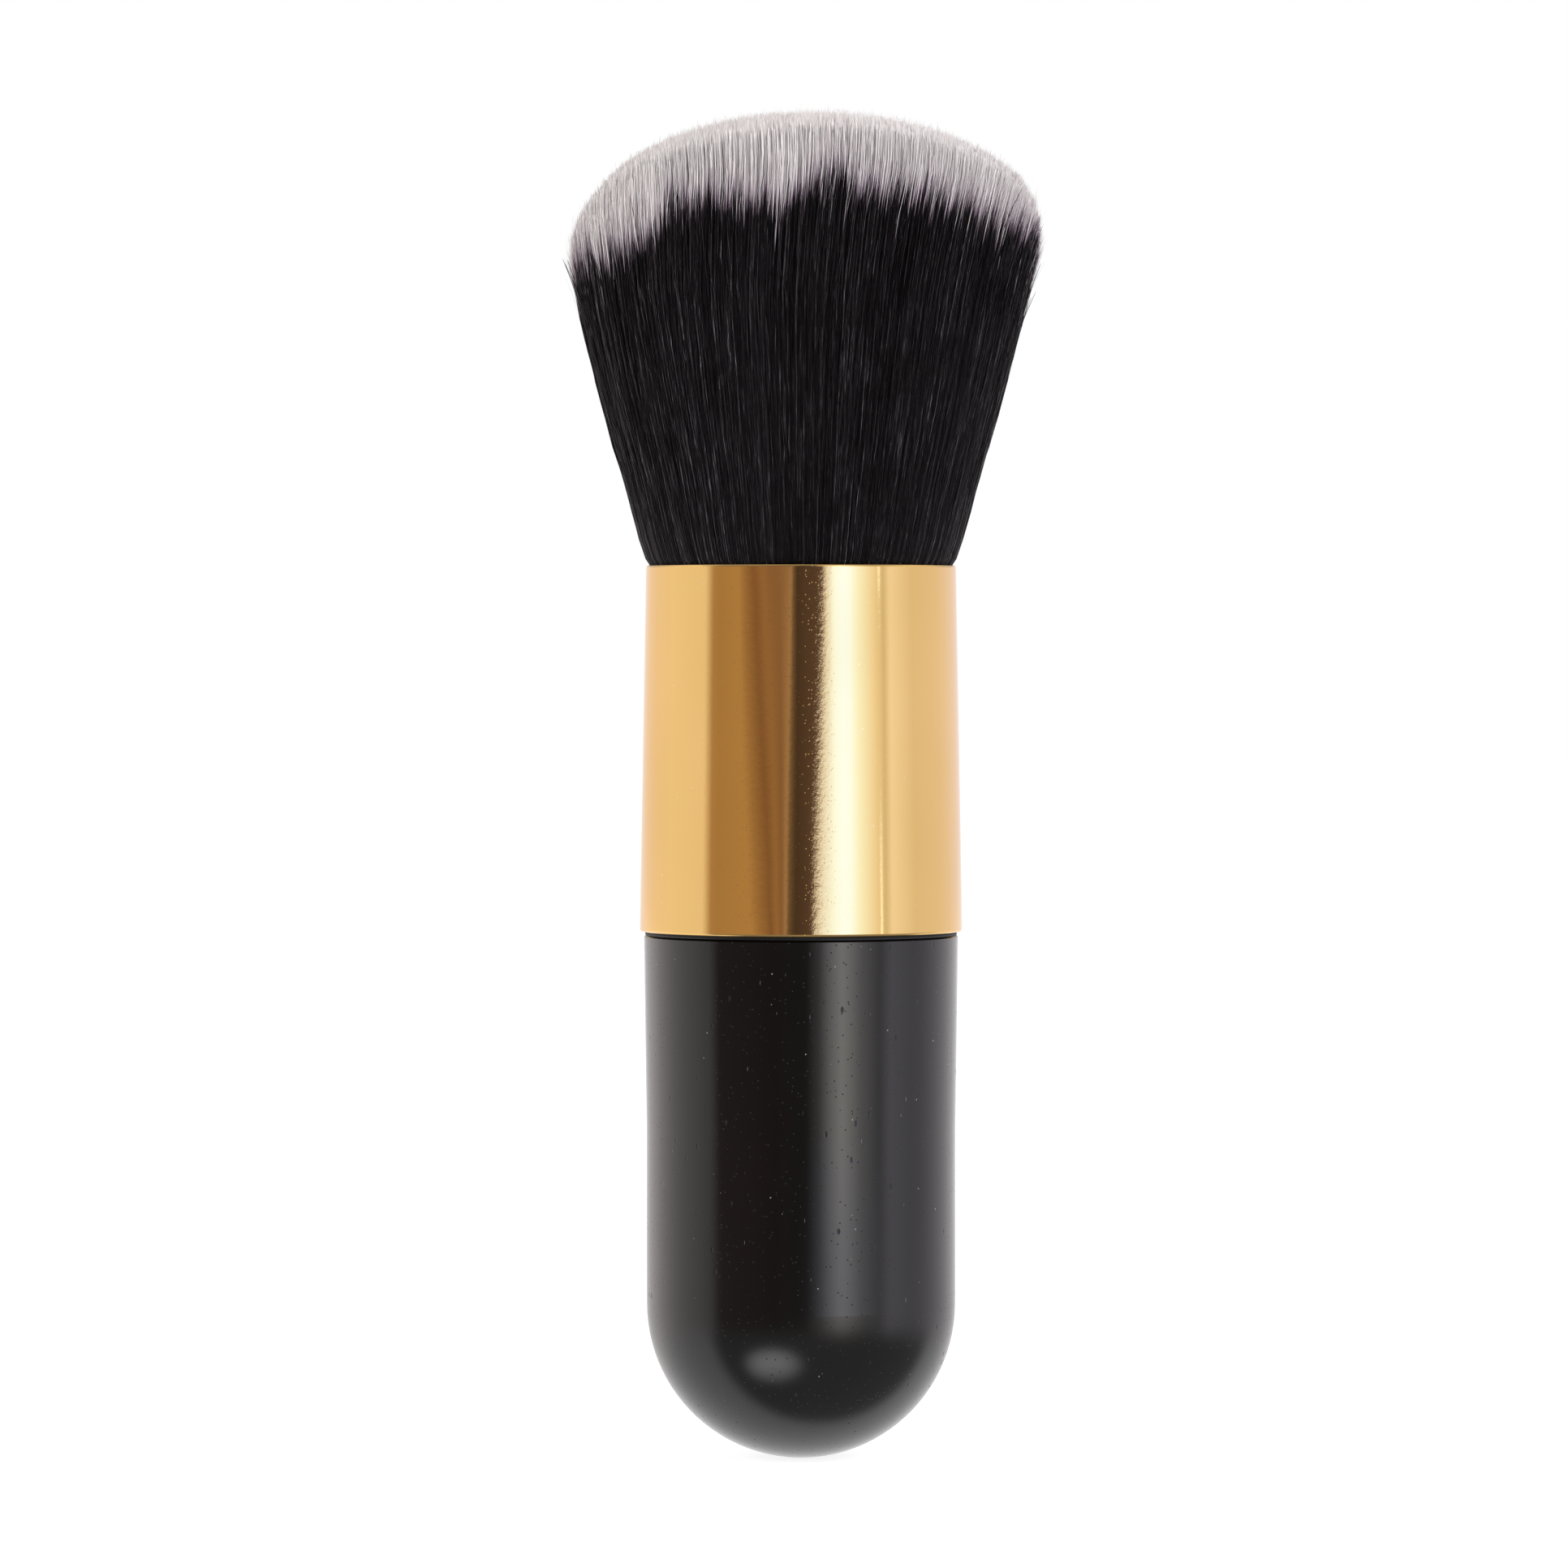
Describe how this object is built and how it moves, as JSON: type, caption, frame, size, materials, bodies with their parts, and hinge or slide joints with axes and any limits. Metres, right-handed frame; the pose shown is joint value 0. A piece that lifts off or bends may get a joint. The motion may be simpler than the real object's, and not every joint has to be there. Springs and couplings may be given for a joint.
{
  "type": "makeup brush",
  "caption": "Short makeup brush with a round-ended barrel handle, a polished ferrule and a dense flared oval head of dark bristles with pale tips.",
  "frame": {"origin": "lowest point of the handle's rounded end, on the handle's axis", "axes": "+Z along the brush axis from the rounded end to the bristles, +X along the wide way of the oval head, +Y along its thin way"},
  "size_m": [0.0437, 0.036, 0.125],
  "materials": {
    "handle": "moulded, gloss black lacquer",
    "weight": "turned",
    "hot_melt": "set hot-melt glue",
    "ferrule": "polished, gold anodised",
    "glue": "cured glue",
    "resin": "cured resin",
    "thread": "twisted thread",
    "dark_filament": "fine synthetic filament, dyed, pale at the tip",
    "pale_filament": "fine synthetic filament, dyed below a pale tip"
  },
  "bodies": {
    "root": {"handle_shell": "handle", "counterweight": "weight", "weight_adhesive": "hot_melt", "ferrule": "ferrule", "ferrule_adhesive": "glue", "root_bond": "resin", "root_binding": "thread", "outer_bristles": "dark_filament", "core_bristles": "pale_filament"}
  },
  "joints": []
}
